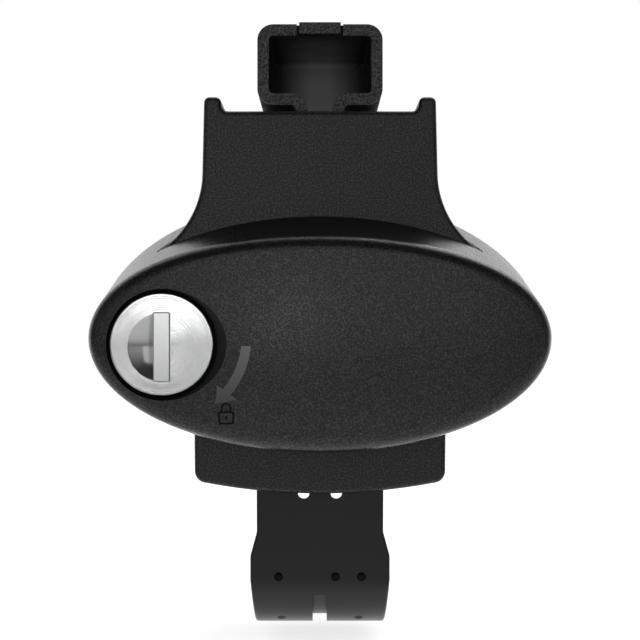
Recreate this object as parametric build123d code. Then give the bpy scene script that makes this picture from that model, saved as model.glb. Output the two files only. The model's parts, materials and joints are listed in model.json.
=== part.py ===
"""Roof bar foot for raised roof rails.

X runs along the rail, Y inboard along the load bar and Z up, in mm. The origin is the rail seat's middle.
"""

import os
from math import radians, tan

from build123d import *

# Fits between pieces
RUN = 0.06  # radial clearance of a turning fit
SLOT_SIDE = 0.16  # each side of a pin in a slot that takes up its arc
LOOSE = 0.6  # each side of a piece that passes freely through another
COVER_GAP = 0.5  # between the cover's cut-outs and the housing
FACE_GAP = 0.05  # between faces that turn on each other

# Cover: two half ellipses that grow towards the back, with a domed face
COVER_HALF_W = 65.5
COVER_SPREAD = 1.0  # how much wider each side is at the back
COVER_MID_Z = 40.4
COVER_RISE = 30.5
COVER_DROP = 31.4
COVER_BACK_MID_Z = 42.0
COVER_BACK_RISE = 40.8
COVER_BACK_DROP = 33.4
COVER_RIM_Y = -43.5
COVER_BACK_Y = -11.5
COVER_APEX_Y = -51.5
COVER_DOME_R = 230.0
COVER_EDGE_R = 5.0
COVER_WALL = 2.5

# Lock in the cover's left end
LOCK_FROM_END = 21.1  # from the cover's left end
LOCK_Z = 39.1
LOCK_DISC_R = 14.7
LOCK_DISC_T = 3.8
LOCK_EDGE_R = 0.6
LOCK_FACE_Y = -43.6
LOCK_RING_GAP = 0.9
LOCK_RAMP_DEG = 25.5  # slope of the recess towards the cover's middle
LOCK_CUP_WALL = 3.0
LOCK_BARREL_R = 8.0
LOCK_BOSS_R = 11.5
LOCK_BOSS_END_Y = -32.5
LOCK_NECK_R = 6.4
LOCK_CLIP_R = 10.2
LOCK_CLIP_T = 1.0
LOCK_CLIP_MOUTH = 5.0
FINGER_R = 9.6
FINGER_DEPTH = 3.4
GRIP_W = 4.8
GRIP_L = 19.6
GRIP_CORNER_R = 0.5
GRIP_DROP = 0.7  # of the grip and the finger recess below the lock's axis
GRIP_PROUD = 0.8
GRIP_EDGE_R = 0.35
CAM_Y = -24.5
CAM_T = 2.5
CAM_HUB_R = 7.0
CAM_W = 8.0
CAM_CORNER_R = 2.0
CAM_REACH = 13.0
CAM_SQUARE = 7.0
CAM_SCREW_HEAD_R = 4.6
CAM_SCREW_HEAD_T = 2.2
CAM_SCREW_R = 2.0
CAM_SCREW_L = 9.0

# Locating tongues at the cover's right end
TONGUE_FROM_END = 13.5
TONGUE_T = 2.6
TONGUE_W = 5.0
TONGUE_Z = (32.5, 46.5)
TONGUE_END_Y = -13.0

# Housing
FRONT_Y = -29.5
REAR_Y = 36.0
SEAT_Z = 106.5
HORN_H = 4.1
HORN_W = 4.9
HORN_FILLET = 2.1
HORN_TOP_R = 1.6
PED_LEAN = 0.5  # of the pedestal's side, from its flare up to the bar seat
FLARE_TOP_Z = 89.0
FLARE_OUT = 12.5
FLARE_TIP_Z = 66.0
WING_LOW_Z = 54.0
WING_END_Y = -10.5
BODY_HALF = 35.3
BODY_SPREAD = 1.2  # of the body past the pedestal
BODY_BEND_Z = 60.0
BODY_CORNER_R = 5.0
BODY_EDGE_R = 1.5
SKIRT_TOP_Z = 26.0
SKIRT_OVER = 1.3  # of the skirt's top past the body's side
SKIRT_TAPER = 0.3
SKIRT_SIDE_Z = -0.6
SKIRT_LOW_Z = -4.3
SKIRT_CORNER_R = 3.5
FRONT_WALL = 3.0
CAVITY_HALF = 20.0
SEAT_WALL = 7.5  # under the bar seat
FLOOR_T = 7.0
STRAP_WELL_Y = -18.4
CORE_IN_X = 23.0
CORE_LOW_Z = (12.0, 31.0)
CORE_FRONT_HALF_X = 29.0
CORE_MID_Z = (35.0, 58.0)
CORE_BACK_Y = -4.0
REAR_CORE_Z = (38.0, 90.0)
REAR_CORE_Y = 18.5
REAR_CORE_COVERED = 1.1  # by the rear cover, past the pockets
REAR_BLOCK_Y = 20.0
FLANK_CORE_Y = (-1.5, 16.0)
FLANK_CORE_Z = (12.0, 61.0)
FLANK_CORES = 3
FLANK_RIB = 2.4
FLANK_CORNER_R = 1.5
REAR_LIP = 3.0
CAM_POCKET_PLAY = 0.7
LUG_PAST = 4.5  # past the middle of the tongues
LUG_Y = (-21.0, -17.0)
LUG_Z = (29.0, 53.0)

# Rail pad
PAD_T = 3.0
PAD_HALF_X = 31.0
PAD_Y = (-17.5, 32.0)
PAD_GROOVE_X = (10.0, 18.0, 26.0)
PAD_GROOVE_W = 2.0
PAD_GROOVE_D = 1.2

# Rear cover and its screws
REAR_COVER_HALF_X = 31.4
REAR_COVER_Z = (28.0, 100.0)
REAR_COVER_T = 2.6
REAR_COVER_PLAY = 0.2
REAR_SCREW_IN = 4.8  # from the rear cover's sides
REAR_SCREW_RISE = 5.0  # from its top and bottom
REAR_SCREW_R = 1.75
REAR_SCREW_L = 10.0
REAR_SCREW_HEAD_R = 3.4
REAR_SCREW_HEAD_T = 2.0
CROWN_SHARE = 0.6  # of a screw head's height that is rounded
CROSS_L_SHARE = 0.6  # of a screw head's radius
CROSS_W_SHARE = 0.14
CROSS_D_SHARE = 0.5  # of a screw head's height

# Strap hook on the inboard side and its screws
HOOK_HALF_X = 15.0
HOOK_T = 3.0
HOOK_TOP_Z = 24.0
HOOK_LOW_Z = -3.0
HOOK_OUT = 11.6
HOOK_LIP = 7.0
HOOK_BEND_R = 1.2
HOOK_SCREW_X = 9.5
HOOK_SCREW_Z = 16.0
HOOK_SCREW_R = 2.4
HOOK_SCREW_L = 12.0
HOOK_SCREW_HEAD_R = 4.2
HOOK_SCREW_HEAD_T = 2.6

# Lever, its pivot and its pins
PIVOT_Y = 6.0
PIVOT_Z = 74.0
PIVOT_R = 4.0
FRONT_ARM = 26.0
REAR_ARM = 13.0
FORK_ARM = 22.0
LEVER_PIN_END_X = 33.0
CLIP_SEAT_X = 30.6
CLIP_T = 1.2
CLIP_R = 7.5
CLIP_WELL_R = 9.0
HUB_R = 8.0
CHEEK_IN = 7.6
CHEEK_OUT = 10.6
ARM_END_R = 5.2
ARM_PIN_R = 3.0
FORK_HALF_W = 8.0
FORK_BELOW = 7.0

# Bolt and nut
BOLT_R = 4.0
BOLT_END_Y = 31.0
BOLT_HEAD_R = 6.5
BOLT_HEAD_L = 8.0
BOLT_HEAD_EDGE = 0.7
BOLT_SOCKET_AF = 6.0
BOLT_SOCKET_D = 4.5
WASHER_R = 8.0
WASHER_T = 1.6
THRUST_HALF = 13.0
THRUST_T = 2.4
THRUST_CORNER_R = 2.0
BOLT_HOLE_PLAY = 0.35
COLLAR_R = 7.0
COLLAR_T = 1.3
NUT_R = 7.0
NUT_JOURNAL_R = 4.0
NUT_SIDE_PLAY = 0.4

# Strap
STRAP_FRONT_Y = -24.5
STRAP_T = 4.5
STRAP_TOP_T = 3.0
STRAP_STEP_Z = -14.0
STRAP_TOP_Z = 40.0
STRAP_LOW_Z = -44.1
STRAP_BACK_Y = 24.5
STRAP_END_Z = -13.0
STRAP_BEND_R = 13.0
STRAP_HALF = 18.8
STRAP_WAIST = 18.5
STRAP_WAIST_Z = -16.0
STRAP_HIP = 20.4
STRAP_HIP_Z = (-23.0, -30.0)
STRAP_LOW_HALF = 19.0
STRAP_TOP_R = 5.0
STRAP_EDGE_R = 0.9
STRAP_HOLE_R = 1.65
STRAP_HOLE_X = 4.77
STRAP_HOLE_Z = -4.8
STRAP_HOLE_PITCH = 12.0
STRAP_HOLE_ROWS = 4
DENT_X = (-12.1, 4.5, 12.1)
DENT_Z = -29.0
DENT_R = 1.3
DENT_D = 1.8
GROOVE_X = (-2.2, 2.0)
GROOVE_TOP_Z = -34.5
GROOVE_D = 2.2
SLIT_X = 11.3
SLIT_W = 1.0
SLIT_L = 4.0
SLIT_D = 1.6
EYE_HALF_X = 9.0
EYE_H = 7.0
EYE_EDGE = 5.0

# Strap yoke and its pegs
YOKE_T = 2.5
YOKE_HALF_X = 14.0
YOKE_Z = (24.0, 39.0)
YOKE_SIDE_PLAY = 0.4
YOKE_ARM_Y = (-24.2, -15.0)
YOKE_ARM_ABOVE = 6.0
PEG_HEAD_R = 3.0
PEG_HEAD_T = 1.2
YOKE_SLOT_BACK = 1.1
YOKE_SLOT_FRONT = 0.4

# Clamp head
HEAD_FRONT_Y = -23.5
HEAD_L = 60.0
HEAD_HALF = 18.35
HEAD_H = 23.5
SHELF_RISE = 2.6  # of the head's shelf above the bar seat
HEAD_WALL = 3.3
HEAD_CORNER_R = 4.6
HEAD_NOSE_R = 9.0
HEAD_NOSE_PLAN_R = 13.0
NOSE_LEAN = 1.25
LEG_HALF = 7.0
LEG_L = 11.1
LEG_END_Y = 28.0
LEG_BEND_R = 4.6
LEG_ROOT_R = 1.3
EAR_Y = (14.7, 24.4)
EAR_SLOT_FRONT = 1.0
EAR_SLOT_BACK = 0.5
TAB_HALF = 6.1
TAB_SLIT = 0.7
TAB_L = 2.0
TAB_RAISE = 0.6

# Sizes that follow from the ones above
COVER_BACK_HALF_W = COVER_HALF_W + COVER_SPREAD
LOCK_X = LOCK_FROM_END - COVER_HALF_W
TONGUE_X = COVER_HALF_W - TONGUE_FROM_END
LUG_END_X = TONGUE_X + LUG_PAST
HEAD_SHELF_Z = SEAT_Z + SHELF_RISE
HEAD_TOP_Z = HEAD_SHELF_Z + HEAD_H
LEG_LOW_Z = HEAD_SHELF_Z - LEG_L
NUT_Z = PIVOT_Z - FORK_ARM
PED_HALF = BODY_HALF - BODY_SPREAD
PED_TOP_HALF = PED_HALF - PED_LEAN
FLARE_TIP_X = PED_HALF + FLARE_OUT
SKIRT_TOP_HALF = BODY_HALF + SKIRT_OVER
SKIRT_HALF = SKIRT_TOP_HALF - SKIRT_TAPER
CAVITY_TOP_Z = SEAT_Z - SEAT_WALL
FRONT_PIN_Y = PIVOT_Y - FRONT_ARM
REAR_PIN_Y = PIVOT_Y + REAR_ARM
BODY_LOW_Z = PAD_T
INNER_FRONT_Y = FRONT_Y + FRONT_WALL
REAR_COVER_Y = REAR_Y - REAR_COVER_T
HEAD_REAR_Y = HEAD_FRONT_Y + HEAD_L
LEG_IN = LEG_HALF - HEAD_WALL
LOCK_POCKET_R = LOCK_DISC_R + LOCK_RING_GAP
LOCK_BACK_Y = LOCK_FACE_Y + LOCK_DISC_T
THRUST_FRONT_Y = FRONT_Y - THRUST_T
WASHER_FRONT_Y = THRUST_FRONT_Y - FACE_GAP - WASHER_T
STRAP_HOLES = [STRAP_HOLE_Z + STRAP_HOLE_PITCH * row for row in range(STRAP_HOLE_ROWS)]
YOKE_FRONT_Y = STRAP_FRONT_Y + STRAP_TOP_T
PEG_Z = STRAP_HOLES[-1]
BEYOND = 80.0  # a cutter's reach past the piece
TOUCH = 0.01  # how near counts as on a plane or at a point


def slab(face, y0, y1):
    """A face drawn in X and Z, given depth from y0 back to y1."""
    return extrude(Plane.XZ.offset(-y1) * face, amount=y1 - y0)


def web(face, x0, x1):
    """A face drawn in Y and Z, given width from x0 to x1."""
    return extrude(Plane.YZ.offset(x0) * face, amount=x1 - x0)


def layer(face, z0, z1):
    """A face drawn in X and Y, given height from z0 to z1."""
    return extrude(Plane.XY.offset(z0) * face, amount=z1 - z0)


def block(x, y, z):
    """A box between the two ends given for each axis."""
    centre = Pos((x[0] + x[1]) / 2, (y[0] + y[1]) / 2, (z[0] + z[1]) / 2)
    return centre * Box(x[1] - x[0], y[1] - y[0], z[1] - z[0])


def rod_x(radius, x, y, z):
    """A rod along X between the two ends in x."""
    return web(Pos(y, z) * Circle(radius), x[0], x[1])


def rod_y(radius, x, y, z):
    """A rod along Y between the two ends in y."""
    return slab(Pos(x, z) * Circle(radius), y[0], y[1])


def rect(u, v):
    """A rectangle between the two ends given for each axis of its sketch."""
    return Pos((u[0] + u[1]) / 2, (v[0] + v[1]) / 2) * Rectangle(u[1] - u[0], v[1] - v[0])


def both(piece):
    """A piece and its mirror image on the other side of the foot."""
    return piece + mirror(piece, about=Plane.YZ)


def symmetric(*half):
    """A face from the right half of its outline, listed from the top down, and the half's mirror image."""
    return make_face(Polyline(*half, *[(-x, z) for x, z in reversed(half)], close=True))


def rounded(face, radius, corners):
    """A face with the corners at the given points rounded."""
    near = [v for v in face.vertices() if any((Vector(v.X, v.Y) - Vector(c)).length < TOUCH for c in corners)]
    return fillet(near, radius)


def corner(u, v, radius):
    """What rounding takes from a corner at u and v that points up both axes of its sketch."""
    square = rect((u - radius, u + radius), (v - radius, v + radius))
    return square - Pos(u - radius, v - radius) * Circle(radius)


def nose(end_y, z, radius):
    """What a leaning rear end with a rounded top takes from a block that ends at end_y, drawn in Y and Z."""
    top_y = end_y - NOSE_LEAN
    front_y = top_y - 2 * radius
    kept = make_face(Polyline((front_y, z[0]), (front_y, z[1]), (top_y, z[1]), (end_y, z[0]), close=True))
    kept = rounded(kept, radius, [(top_y, z[1])])
    return rect((top_y - radius, end_y + radius), (z[0], z[1] + radius)) - kept


def link(y0, z0, r0, y1, z1, r1):
    """The outline round two circles, drawn in Y and Z."""
    ends = Pos(y0, z0) * Circle(r0) + Pos(y1, z1) * Circle(r1)
    return make_hull(ends.edges())


# Housing: one glass-filled nylon moulding, open at the back for the mechanism
bar_seat_half = PED_TOP_HALF - HORN_W
horn_z = SEAT_Z + HORN_H
horns = symmetric(
    (bar_seat_half, SEAT_Z),
    (bar_seat_half, horn_z),
    (PED_TOP_HALF, horn_z),
    (PED_HALF, FLARE_TOP_Z),
    (BODY_HALF, BODY_BEND_Z),
    (BODY_HALF, BODY_LOW_Z),
)
horns = rounded(horns, HORN_FILLET, [(bar_seat_half, SEAT_Z), (-bar_seat_half, SEAT_Z)])
horns = rounded(
    horns,
    HORN_TOP_R,
    [(s * x, horn_z) for s in (-1, 1) for x in (bar_seat_half, PED_TOP_HALF)],
)
horns = rounded(horns, BODY_CORNER_R, [(BODY_HALF, BODY_LOW_Z), (-BODY_HALF, BODY_LOW_Z)])
body = slab(horns, FRONT_Y, REAR_Y)

# its flared wings, which fill the cut-out in the cover's top
flare_side = TangentArc((PED_HALF, FLARE_TOP_Z), (FLARE_TIP_X, FLARE_TIP_Z), tangent=(0, -1))
flare_rest = Polyline(
    (FLARE_TIP_X, FLARE_TIP_Z),
    (FLARE_TIP_X, WING_LOW_Z),
    (0, WING_LOW_Z),
    (0, FLARE_TOP_Z),
    (PED_HALF, FLARE_TOP_Z),
)
wing_half = make_face([flare_side, *flare_rest.edges()])
wings = wing_half + mirror(wing_half, about=Plane.YZ)
body += slab(wings, FRONT_Y, WING_END_Y)

# the skirt, a front wall that hangs below the rail seat
skirt_arc = ThreePointArc((-SKIRT_HALF, SKIRT_SIDE_Z), (0, SKIRT_LOW_Z), (SKIRT_HALF, SKIRT_SIDE_Z))
skirt_rest = Polyline(
    (SKIRT_HALF, SKIRT_SIDE_Z),
    (SKIRT_TOP_HALF, SKIRT_TOP_Z),
    (-SKIRT_TOP_HALF, SKIRT_TOP_Z),
    (-SKIRT_HALF, SKIRT_SIDE_Z),
)
skirt = make_face([skirt_arc, *skirt_rest.edges()])
skirt = rounded(skirt, SKIRT_CORNER_R, [(SKIRT_HALF, SKIRT_SIDE_Z), (-SKIRT_HALF, SKIRT_SIDE_Z)])
body += slab(skirt, FRONT_Y, INNER_FRONT_Y)
front_edges = body.edges().filter_by_position(Axis.Y, FRONT_Y - TOUCH, FRONT_Y + TOUCH)
rear_edges = body.edges().filter_by_position(Axis.Y, REAR_Y - TOUCH, REAR_Y + TOUCH)
body = fillet([*front_edges, *rear_edges], BODY_EDGE_R)

# the lug on the right that takes the cover's tongues
lug_slots = [
    block(
        (TONGUE_X - TONGUE_T / 2 - COVER_GAP, TONGUE_X + TONGUE_T / 2 + COVER_GAP),
        LUG_Y,
        (z - TONGUE_W / 2 - COVER_GAP, z + TONGUE_W / 2 + COVER_GAP),
    )
    for z in TONGUE_Z
]
body += block((BODY_HALF - FRONT_WALL, LUG_END_X), LUG_Y, LUG_Z) - lug_slots

# the mechanism's space, the strap's well in the floor and the slot for the clamp head's legs
cavity_low_z = BODY_LOW_Z + FLOOR_T
cavity_x = (-CAVITY_HALF, CAVITY_HALF)
rear_open_z = (REAR_COVER_Z[0] + REAR_LIP, CAVITY_TOP_Z)
leg_slot_x = (-LEG_HALF - LOOSE, LEG_HALF + LOOSE)
leg_slot_y = (HEAD_FRONT_Y - LOOSE, LEG_END_Y + LOOSE)
body -= block(cavity_x, (INNER_FRONT_Y, REAR_BLOCK_Y), (cavity_low_z, CAVITY_TOP_Z))
body -= block(cavity_x, (REAR_BLOCK_Y, REAR_Y), rear_open_z)
body -= block(cavity_x, (INNER_FRONT_Y, STRAP_WELL_Y), (BODY_LOW_Z, cavity_low_z))
body -= block(leg_slot_x, leg_slot_y, (CAVITY_TOP_Z, horn_z))

# cored pockets that keep the walls even: behind the cover, behind the rear cover, and in rows between ribs on
# each flank
front_core_x = (CORE_IN_X, CORE_FRONT_HALF_X)
rear_core_x = (CORE_IN_X, REAR_COVER_HALF_X - REAR_CORE_COVERED)
body -= both(block(front_core_x, (FRONT_Y, CORE_BACK_Y), CORE_LOW_Z))
body -= both(block(front_core_x, (FRONT_Y, CORE_BACK_Y), CORE_MID_Z))
body -= both(block(rear_core_x, (REAR_CORE_Y, REAR_Y), REAR_CORE_Z))
flank_pitch = (FLANK_CORE_Z[1] - FLANK_CORE_Z[0] + FLANK_RIB) / FLANK_CORES
flank_pocket = RectangleRounded(FLANK_CORE_Y[1] - FLANK_CORE_Y[0], flank_pitch - FLANK_RIB, FLANK_CORNER_R)
for row in range(FLANK_CORES):
    pocket_z = FLANK_CORE_Z[0] + (row + 1 / 2) * flank_pitch - FLANK_RIB / 2
    body -= both(web(Pos(sum(FLANK_CORE_Y) / 2, pocket_z) * flank_pocket, CORE_IN_X, BEYOND))

# the rear cover's rebate, the pivot's holes and the wells for its retainers
rebate_half = REAR_COVER_HALF_X + REAR_COVER_PLAY
rebate_z = (REAR_COVER_Z[0] - REAR_COVER_PLAY, REAR_COVER_Z[1] + REAR_COVER_PLAY)
body -= block((-rebate_half, rebate_half), (REAR_COVER_Y, REAR_Y), rebate_z)
body -= rod_x(PIVOT_R, (-BEYOND, BEYOND), PIVOT_Y, PIVOT_Z)
body -= both(rod_x(CLIP_WELL_R, (CLIP_SEAT_X, BEYOND), PIVOT_Y, PIVOT_Z))

# the bolt's hole, the pocket behind the left edge for the lock's cam and barrel, and the screws' holes
bolt_hole_r = BOLT_R + BOLT_HOLE_PLAY
cam_sweep = CAM_REACH + CAM_POCKET_PLAY
cam_play = CAM_W / 2 + CAM_POCKET_PLAY
body -= rod_y(bolt_hole_r, 0, (FRONT_Y, INNER_FRONT_Y), NUT_Z)
body -= block(
    (LOCK_X, LOCK_X + cam_sweep),
    (CAM_Y - CAM_POCKET_PLAY, CAM_Y + CAM_T + CAM_POCKET_PLAY),
    (LOCK_Z - cam_play, LOCK_Z + cam_sweep),
)
lock_end_y = CAM_Y + CAM_T + CAM_SCREW_HEAD_T + CAM_POCKET_PLAY
body -= rod_y(CAM_HUB_R + CAM_POCKET_PLAY, LOCK_X, (FRONT_Y, lock_end_y), LOCK_Z)
rear_screw_x = REAR_COVER_HALF_X - REAR_SCREW_IN
rear_screw_z = (REAR_COVER_Z[0] + REAR_SCREW_RISE, REAR_COVER_Z[1] - REAR_SCREW_RISE)
rear_screw_at = [(s * rear_screw_x, z) for s in (-1, 1) for z in rear_screw_z]
hook_screw_at = [(s * HOOK_SCREW_X, HOOK_SCREW_Z) for s in (-1, 1)]
rear_screw_y = (REAR_Y - REAR_SCREW_L, REAR_Y)
hook_screw_y = (REAR_Y + HOOK_T - HOOK_SCREW_L, REAR_Y + HOOK_T)
for x, z in rear_screw_at:
    body -= rod_y(REAR_SCREW_R, x, rear_screw_y, z)
for x, z in hook_screw_at:
    body -= rod_y(HOOK_SCREW_R, x, hook_screw_y, z)
housing = body


# Rail pad: a rubber pad bonded under the housing, grooved across the rail
rail_pad = block((-PAD_HALF_X, PAD_HALF_X), PAD_Y, (0, PAD_T))
for x in PAD_GROOVE_X:
    rail_pad -= both(block((x - PAD_GROOVE_W / 2, x + PAD_GROOVE_W / 2), PAD_Y, (0, PAD_GROOVE_D)))

# Rear cover: a flat moulding in a rebate, held by four screws
rear_cover = block((-REAR_COVER_HALF_X, REAR_COVER_HALF_X), (REAR_COVER_Y, REAR_Y), REAR_COVER_Z)
rear_cover = fillet(rear_cover.edges().filter_by(Axis.Y), REAR_COVER_T)
for x, z in rear_screw_at:
    rear_cover -= rod_y(REAR_SCREW_R, x, (REAR_COVER_Y, REAR_Y), z)


def pan_screw(x, z, seat_y, radius, length, head_r, head_t):
    """A pan-head screw driven towards the front, its head on the face at seat_y, with a cross slot."""
    shank = rod_y(radius, x, (seat_y - length, seat_y), z)
    head = rod_y(head_r, x, (seat_y, seat_y + head_t), z)
    head = fillet(head.edges().group_by(Axis.Y)[-1], head_t * CROWN_SHARE)
    slot_y = (seat_y + head_t * (1 - CROSS_D_SHARE), seat_y + head_t)
    cross = (head_r * CROSS_L_SHARE, head_r * CROSS_W_SHARE)
    for half_x, half_z in (cross, reversed(cross)):
        head -= block((x - half_x, x + half_x), slot_y, (z - half_z, z + half_z))
    return shank + head


rear_screw_size = (REAR_SCREW_R, REAR_SCREW_L, REAR_SCREW_HEAD_R, REAR_SCREW_HEAD_T)
rear_screws = Compound([pan_screw(x, z, REAR_Y, *rear_screw_size).solid() for x, z in rear_screw_at])

# Strap hook: a folded steel plate that takes the strap's free end, and its two screws
hook_out_y = REAR_Y + HOOK_OUT
hook_up_z = HOOK_LOW_Z + HOOK_LIP
hook_side = make_face(
    Polyline(
        (REAR_Y, HOOK_TOP_Z),
        (REAR_Y, HOOK_LOW_Z),
        (hook_out_y, HOOK_LOW_Z),
        (hook_out_y, hook_up_z),
        (hook_out_y - HOOK_T, hook_up_z),
        (hook_out_y - HOOK_T, HOOK_LOW_Z + HOOK_T),
        (REAR_Y + HOOK_T, HOOK_LOW_Z + HOOK_T),
        (REAR_Y + HOOK_T, HOOK_TOP_Z),
        close=True,
    )
)
hook_side = rounded(hook_side, HOOK_T, [(REAR_Y, HOOK_LOW_Z), (hook_out_y, HOOK_LOW_Z)])
hook_inner = [(hook_out_y - HOOK_T, HOOK_LOW_Z + HOOK_T), (REAR_Y + HOOK_T, HOOK_LOW_Z + HOOK_T)]
hook_side = rounded(hook_side, HOOK_BEND_R, hook_inner)
strap_hook = web(hook_side, -HOOK_HALF_X, HOOK_HALF_X)
for x, z in hook_screw_at:
    strap_hook -= rod_y(HOOK_SCREW_R, x, (REAR_Y, REAR_Y + HOOK_T), z)
hook_screw_size = (HOOK_SCREW_R, HOOK_SCREW_L, HOOK_SCREW_HEAD_R, HOOK_SCREW_HEAD_T)
hook_screws = Compound([pan_screw(x, z, REAR_Y + HOOK_T, *hook_screw_size).solid() for x, z in hook_screw_at])

# Lever pin through the housing's walls, and a push-on retainer at each end
lever_pin = rod_x(PIVOT_R, (-LEVER_PIN_END_X, LEVER_PIN_END_X), PIVOT_Y, PIVOT_Z)
clip_x = (CLIP_SEAT_X, CLIP_SEAT_X + CLIP_T)
pin_clip = rod_x(CLIP_R, clip_x, PIVOT_Y, PIVOT_Z) - rod_x(PIVOT_R, clip_x, PIVOT_Y, PIVOT_Z)
pin_clips = Compound([pin_clip.solid(), mirror(pin_clip, about=Plane.YZ).solid()])

# Rocker lever: a steel casting of two cheeks on a hub, with a front arm, a rear arm and a fork for the nut
fork_low_z = NUT_Z - FORK_BELOW
cheek_face = link(FRONT_PIN_Y, PIVOT_Z, ARM_END_R, PIVOT_Y, PIVOT_Z, HUB_R)
cheek_face += link(REAR_PIN_Y, PIVOT_Z, ARM_END_R, PIVOT_Y, PIVOT_Z, HUB_R)
cheek_face += rect((PIVOT_Y - FORK_HALF_W, PIVOT_Y + FORK_HALF_W), (fork_low_z, PIVOT_Z))
fork_slot_half = NUT_JOURNAL_R + SLOT_SIDE
fork_slot_top = NUT_Z + NUT_JOURNAL_R + LOOSE
cheek_face -= rect((PIVOT_Y - fork_slot_half, PIVOT_Y + fork_slot_half), (fork_low_z, fork_slot_top))
cheek_face -= Pos(FRONT_PIN_Y, PIVOT_Z) * Circle(ARM_PIN_R)
cheek_face -= Pos(REAR_PIN_Y, PIVOT_Z) * Circle(ARM_PIN_R)
cheek = web(cheek_face, CHEEK_IN, CHEEK_OUT)
rocker_lever = both(cheek) + rod_x(HUB_R, (-CHEEK_OUT, CHEEK_OUT), PIVOT_Y, PIVOT_Z)
rocker_lever -= rod_x(PIVOT_R + RUN, (-CHEEK_OUT, CHEEK_OUT), PIVOT_Y, PIVOT_Z)
yoke_arm_in = CHEEK_OUT + YOKE_SIDE_PLAY
front_pin = rod_x(ARM_PIN_R, (-YOKE_HALF_X, YOKE_HALF_X), FRONT_PIN_Y, PIVOT_Z)
rear_pin = rod_x(ARM_PIN_R, (-CHEEK_OUT, CHEEK_OUT), REAR_PIN_Y, PIVOT_Z)

# Trunnion nut: a barrel with two journals, tapped through for the bolt
nut_half = CHEEK_IN - NUT_SIDE_PLAY
trunnion_nut = rod_x(NUT_R, (-nut_half, nut_half), PIVOT_Y, NUT_Z)
trunnion_nut += rod_x(NUT_JOURNAL_R, (-CHEEK_OUT, CHEEK_OUT), PIVOT_Y, NUT_Z)
trunnion_nut -= rod_y(BOLT_R + RUN, 0, (PIVOT_Y - NUT_R, PIVOT_Y + NUT_R), NUT_Z)

# Tension bolt with a hexagon socket, its washer, the ring that keeps it in the wall, and the plate it bears on
head_front_y = WASHER_FRONT_Y - BOLT_HEAD_L
tension_bolt = rod_y(BOLT_HEAD_R, 0, (head_front_y, WASHER_FRONT_Y), NUT_Z)
tension_bolt = chamfer(tension_bolt.edges().group_by(Axis.Y)[0], BOLT_HEAD_EDGE)
tension_bolt += rod_y(BOLT_R, 0, (WASHER_FRONT_Y, BOLT_END_Y), NUT_Z)
hexagon = Pos(0, NUT_Z) * RegularPolygon(BOLT_SOCKET_AF / 2, 6, major_radius=False)
tension_bolt -= slab(hexagon, head_front_y, head_front_y + BOLT_SOCKET_D)
washer_y = (WASHER_FRONT_Y, WASHER_FRONT_Y + WASHER_T)
bolt_washer = rod_y(WASHER_R, 0, washer_y, NUT_Z) - rod_y(BOLT_R, 0, washer_y, NUT_Z)
collar_y = (INNER_FRONT_Y + FACE_GAP, INNER_FRONT_Y + FACE_GAP + COLLAR_T)
bolt_collar = rod_y(COLLAR_R, 0, collar_y, NUT_Z) - rod_y(BOLT_R, 0, collar_y, NUT_Z)
thrust_face = Pos(0, NUT_Z) * RectangleRounded(2 * THRUST_HALF, 2 * THRUST_HALF, THRUST_CORNER_R)
thrust_face -= Pos(0, NUT_Z) * Circle(bolt_hole_r)
thrust_plate = slab(thrust_face, THRUST_FRONT_Y, FRONT_Y)

# Rail strap: a rubber-coated steel band bent under the rail, with adjusting holes and an eye at its free end
strap_inner_y = STRAP_FRONT_Y + STRAP_T
strap_inner_z = STRAP_LOW_Z + STRAP_T
strap_side = rect((STRAP_FRONT_Y, STRAP_BACK_Y), (STRAP_LOW_Z, STRAP_TOP_Z))
strap_side = rounded(strap_side, STRAP_BEND_R, [(STRAP_FRONT_Y, STRAP_LOW_Z), (STRAP_BACK_Y, STRAP_LOW_Z)])
rail_y = (strap_inner_y, STRAP_BACK_Y - STRAP_T)
rail_space = rect(rail_y, (strap_inner_z, STRAP_TOP_Z))
rail_space = rounded(rail_space, STRAP_BEND_R - STRAP_T, [(y, strap_inner_z) for y in rail_y])
strap_side -= rail_space
strap_side -= rect((0, BEYOND), (STRAP_END_Z, BEYOND))
step_end_z = STRAP_STEP_Z - STRAP_T
strap_side -= make_face(
    Polyline(
        (YOKE_FRONT_Y, BEYOND),
        (YOKE_FRONT_Y, STRAP_STEP_Z),
        (strap_inner_y, step_end_z),
        (0, step_end_z),
        (0, BEYOND),
        close=True,
    )
)
strap_front = symmetric(
    (STRAP_HALF, STRAP_TOP_Z),
    (STRAP_WAIST, STRAP_WAIST_Z),
    (STRAP_HIP, STRAP_HIP_Z[0]),
    (STRAP_HIP, STRAP_HIP_Z[1]),
    (STRAP_LOW_HALF, STRAP_LOW_Z),
)
strap_front = rounded(strap_front, STRAP_TOP_R, [(STRAP_HALF, STRAP_TOP_Z), (-STRAP_HALF, STRAP_TOP_Z)])
hip_points = [(STRAP_WAIST, STRAP_WAIST_Z), (STRAP_HIP, STRAP_HIP_Z[0])]
strap_front = rounded(strap_front, STRAP_TOP_R, [(s * x, z) for s in (-1, 1) for x, z in hip_points])
strap = web(strap_side, -BEYOND, BEYOND) & slab(strap_front, STRAP_FRONT_Y, STRAP_BACK_Y)
outer_rim = strap.edges().filter_by_position(Axis.Y, STRAP_FRONT_Y - TOUCH, STRAP_FRONT_Y + TOUCH)
strap = fillet(outer_rim, STRAP_EDGE_R)
for z in STRAP_HOLES:
    for x in (-STRAP_HOLE_X, STRAP_HOLE_X):
        strap -= rod_y(STRAP_HOLE_R, x, (STRAP_FRONT_Y, strap_inner_y), z)
for x in DENT_X:
    strap -= rod_y(DENT_R, x, (STRAP_FRONT_Y, STRAP_FRONT_Y + DENT_D), DENT_Z)
groove_bend = STRAP_BEND_R - GROOVE_D
groove_keep = rect((STRAP_FRONT_Y + GROOVE_D, STRAP_BACK_Y - GROOVE_D), (STRAP_LOW_Z + GROOVE_D, BEYOND))
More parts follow.
